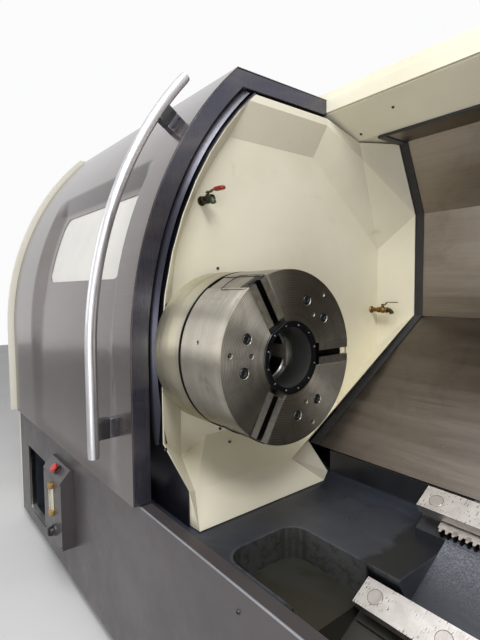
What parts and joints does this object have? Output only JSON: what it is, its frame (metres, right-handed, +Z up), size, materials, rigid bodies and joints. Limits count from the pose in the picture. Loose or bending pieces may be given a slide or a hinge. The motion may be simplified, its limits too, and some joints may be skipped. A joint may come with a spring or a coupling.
{
  "type": "cnc turning lathe",
  "caption": "Slant-bed turning lathe with a large power chuck, sliding curved door, fixed hood, cream bulkhead, guarded working area and chip trough.",
  "frame": {"origin": "on the floor under the middle of the machine's overall box", "axes": "+X runs along the spindle from the headstock to the tailstock, -Y is the operator's side, +Z is up"},
  "size_m": [5.11, 2.144, 2.574],
  "materials": {
    "cream_paint": "satin",
    "dark_paint": "gloss",
    "slate_paint": "satin",
    "ground_steel": "ground",
    "machined_steel": "turned",
    "blacked_steel": "satin",
    "stainless": "brushed",
    "satin_tube": "satin",
    "black_rubber": "matte",
    "brass": "satin",
    "red_plastic": "gloss",
    "window_sheet": "gloss",
    "motor_grey": "satin"
  },
  "bodies": {
    "machine": {"bed": "slate_paint", "front_way": "ground_steel", "rear_way": "ground_steel", "gear_rack": "machined_steel", "front_apron": "dark_paint", "service_box": "dark_paint", "sight_gauge": "brass", "headstock": "slate_paint", "front_bearing": "machined_steel", "rear_bearing": "machined_steel", "drive_belt": "black_rubber", "main_motor": "motor_grey", "bulkhead": "cream_paint", "hood_rim": "dark_paint", "fixed_hood": "cream_paint", "roof_beam": "cream_paint", "door_rail": "machined_steel", "rear_cover": "cream_paint", "left_end_cover": "cream_paint", "right_end_cover": "cream_paint", "right_cover": "dark_paint", "upper_guard": "stainless", "rear_guard": "stainless", "lower_guard": "stainless", "guard_gasket": "black_rubber", "feed_screw": "ground_steel", "feed_servo": "motor_grey", "front_valve": "brass", "rear_valve": "brass", "panel_bracket": "dark_paint"},
    "spindle_unit": {"spindle": "ground_steel", "spindle_pulley": "machined_steel", "clamping_cylinder": "machined_steel", "chuck_backplate": "machined_steel", "chuck_body": "machined_steel", "centre_ring": "blacked_steel"},
    "jaw_1": {"master_jaw_1": "ground_steel"},
    "jaw_2": {"master_jaw_2": "ground_steel"},
    "jaw_3": {"master_jaw_3": "ground_steel"},
    "motor_rotor": {"motor_pulley": "machined_steel"},
    "door": {"door_skin": "dark_paint", "door_flange": "dark_paint", "window_pane": "window_sheet", "door_handle": "satin_tube", "handle_bracket_lower": "dark_paint", "handle_bracket_upper": "dark_paint"},
    "button": {"stop_button": "red_plastic"},
    "switch_knob": {"isolator_knob": "blacked_steel"},
    "front_lever": {"front_valve_lever": "red_plastic"},
    "rear_lever": {"rear_valve_lever": "brass"},
    "carriage": {"saddle": "slate_paint", "cross_servo": "motor_grey"},
    "slide": {"cross_slide": "machined_steel", "turret_housing": "cream_paint"},
    "turret": {"turret_disc": "machined_steel"},
    "tailstock_body": {"tailstock": "slate_paint"},
    "quill_body": {"quill": "ground_steel"},
    "centre_point": {"live_centre": "ground_steel"},
    "operator_panel": {"control_panel": "cream_paint"},
    "cabinet_leaf": {"cabinet_door": "cream_paint"}
  },
  "joints": [
    {"name": "spindle_spin", "type": "hinge", "parent": "machine", "child": "spindle_unit", "pos_m": [-0.225, -0.532, 1.36], "axis": [1, 0, 0], "continuous": true},
    {"name": "jaw_1_slide", "type": "slide", "parent": "spindle_unit", "child": "jaw_1", "axis": [0, 1, 0], "range_m": [-0.01, 0]},
    {"name": "jaw_2_slide", "type": "slide", "parent": "spindle_unit", "child": "jaw_2", "axis": [0, -0.5, 0.866], "range_m": [-0.01, 0]},
    {"name": "jaw_3_slide", "type": "slide", "parent": "spindle_unit", "child": "jaw_3", "axis": [0, -0.5, -0.866], "range_m": [-0.01, 0]},
    {"name": "motor_spin", "type": "hinge", "parent": "machine", "child": "motor_rotor", "pos_m": [-0.225, 0.298, 1.03], "axis": [1, 0, 0], "continuous": true},
    {"name": "door_slide", "type": "slide", "parent": "machine", "child": "door", "axis": [1, 0, 0], "range_m": [0, 1.79]},
    {"name": "button_press", "type": "slide", "parent": "machine", "child": "button", "axis": [0, 0.7399, -0.6727], "range_m": [0, 0.006], "stiffness_N_per_m": 600, "springref_m": -0.004},
    {"name": "switch_turn", "type": "hinge", "parent": "machine", "child": "switch_knob", "pos_m": [-1.54, -0.977, 0.34], "axis": [0, 1, 0], "range_deg": [0, 90]},
    {"name": "front_valve_turn", "type": "hinge", "parent": "machine", "child": "front_lever", "pos_m": [-0.6952, -0.55, 2], "axis": [0, 0, 1], "range_deg": [0, 90]},
    {"name": "rear_valve_turn", "type": "hinge", "parent": "machine", "child": "rear_lever", "pos_m": [-0.6677, 0.648, 1.5], "axis": [0, 0, 1], "range_deg": [-90, 0]},
    {"name": "carriage_slide", "type": "slide", "parent": "machine", "child": "carriage", "axis": [1, 0, 0], "range_m": [-0.39, 0.25]},
    {"name": "cross_slide_feed", "type": "slide", "parent": "carriage", "child": "slide", "axis": [0, 0.8738, 0.4863], "range_m": [-0.3, 0]},
    {"name": "turret_index", "type": "hinge", "parent": "slide", "child": "turret", "pos_m": [0.475, -0.08854, 1.64856], "axis": [1, 0, 0], "continuous": true},
    {"name": "tailstock_slide", "type": "slide", "parent": "machine", "child": "tailstock_body", "axis": [1, 0, 0], "range_m": [-0.3, 0.1]},
    {"name": "quill_slide", "type": "slide", "parent": "tailstock_body", "child": "quill_body", "axis": [1, 0, 0], "range_m": [-0.15, 0]},
    {"name": "centre_spin", "type": "hinge", "parent": "quill_body", "child": "centre_point", "pos_m": [1.375, -0.532, 1.36], "axis": [1, 0, 0], "continuous": true},
    {"name": "panel_swivel", "type": "hinge", "parent": "machine", "child": "operator_panel", "pos_m": [1.4, -1.032, 1.36], "axis": [0, 0, 1], "range_deg": [-90, 0]},
    {"name": "cabinet_hinge", "type": "hinge", "parent": "machine", "child": "cabinet_leaf", "pos_m": [-1.829, 1.072, 1.36], "axis": [0, 0, 1], "range_deg": [0, 110]}
  ],
  "couplings": [
    {"joint": "jaw_2_slide", "follows": "jaw_1_slide", "ratio": 1},
    {"joint": "jaw_3_slide", "follows": "jaw_1_slide", "ratio": 1},
    {"joint": "motor_spin", "follows": "spindle_spin", "ratio": 1.8182}
  ]
}
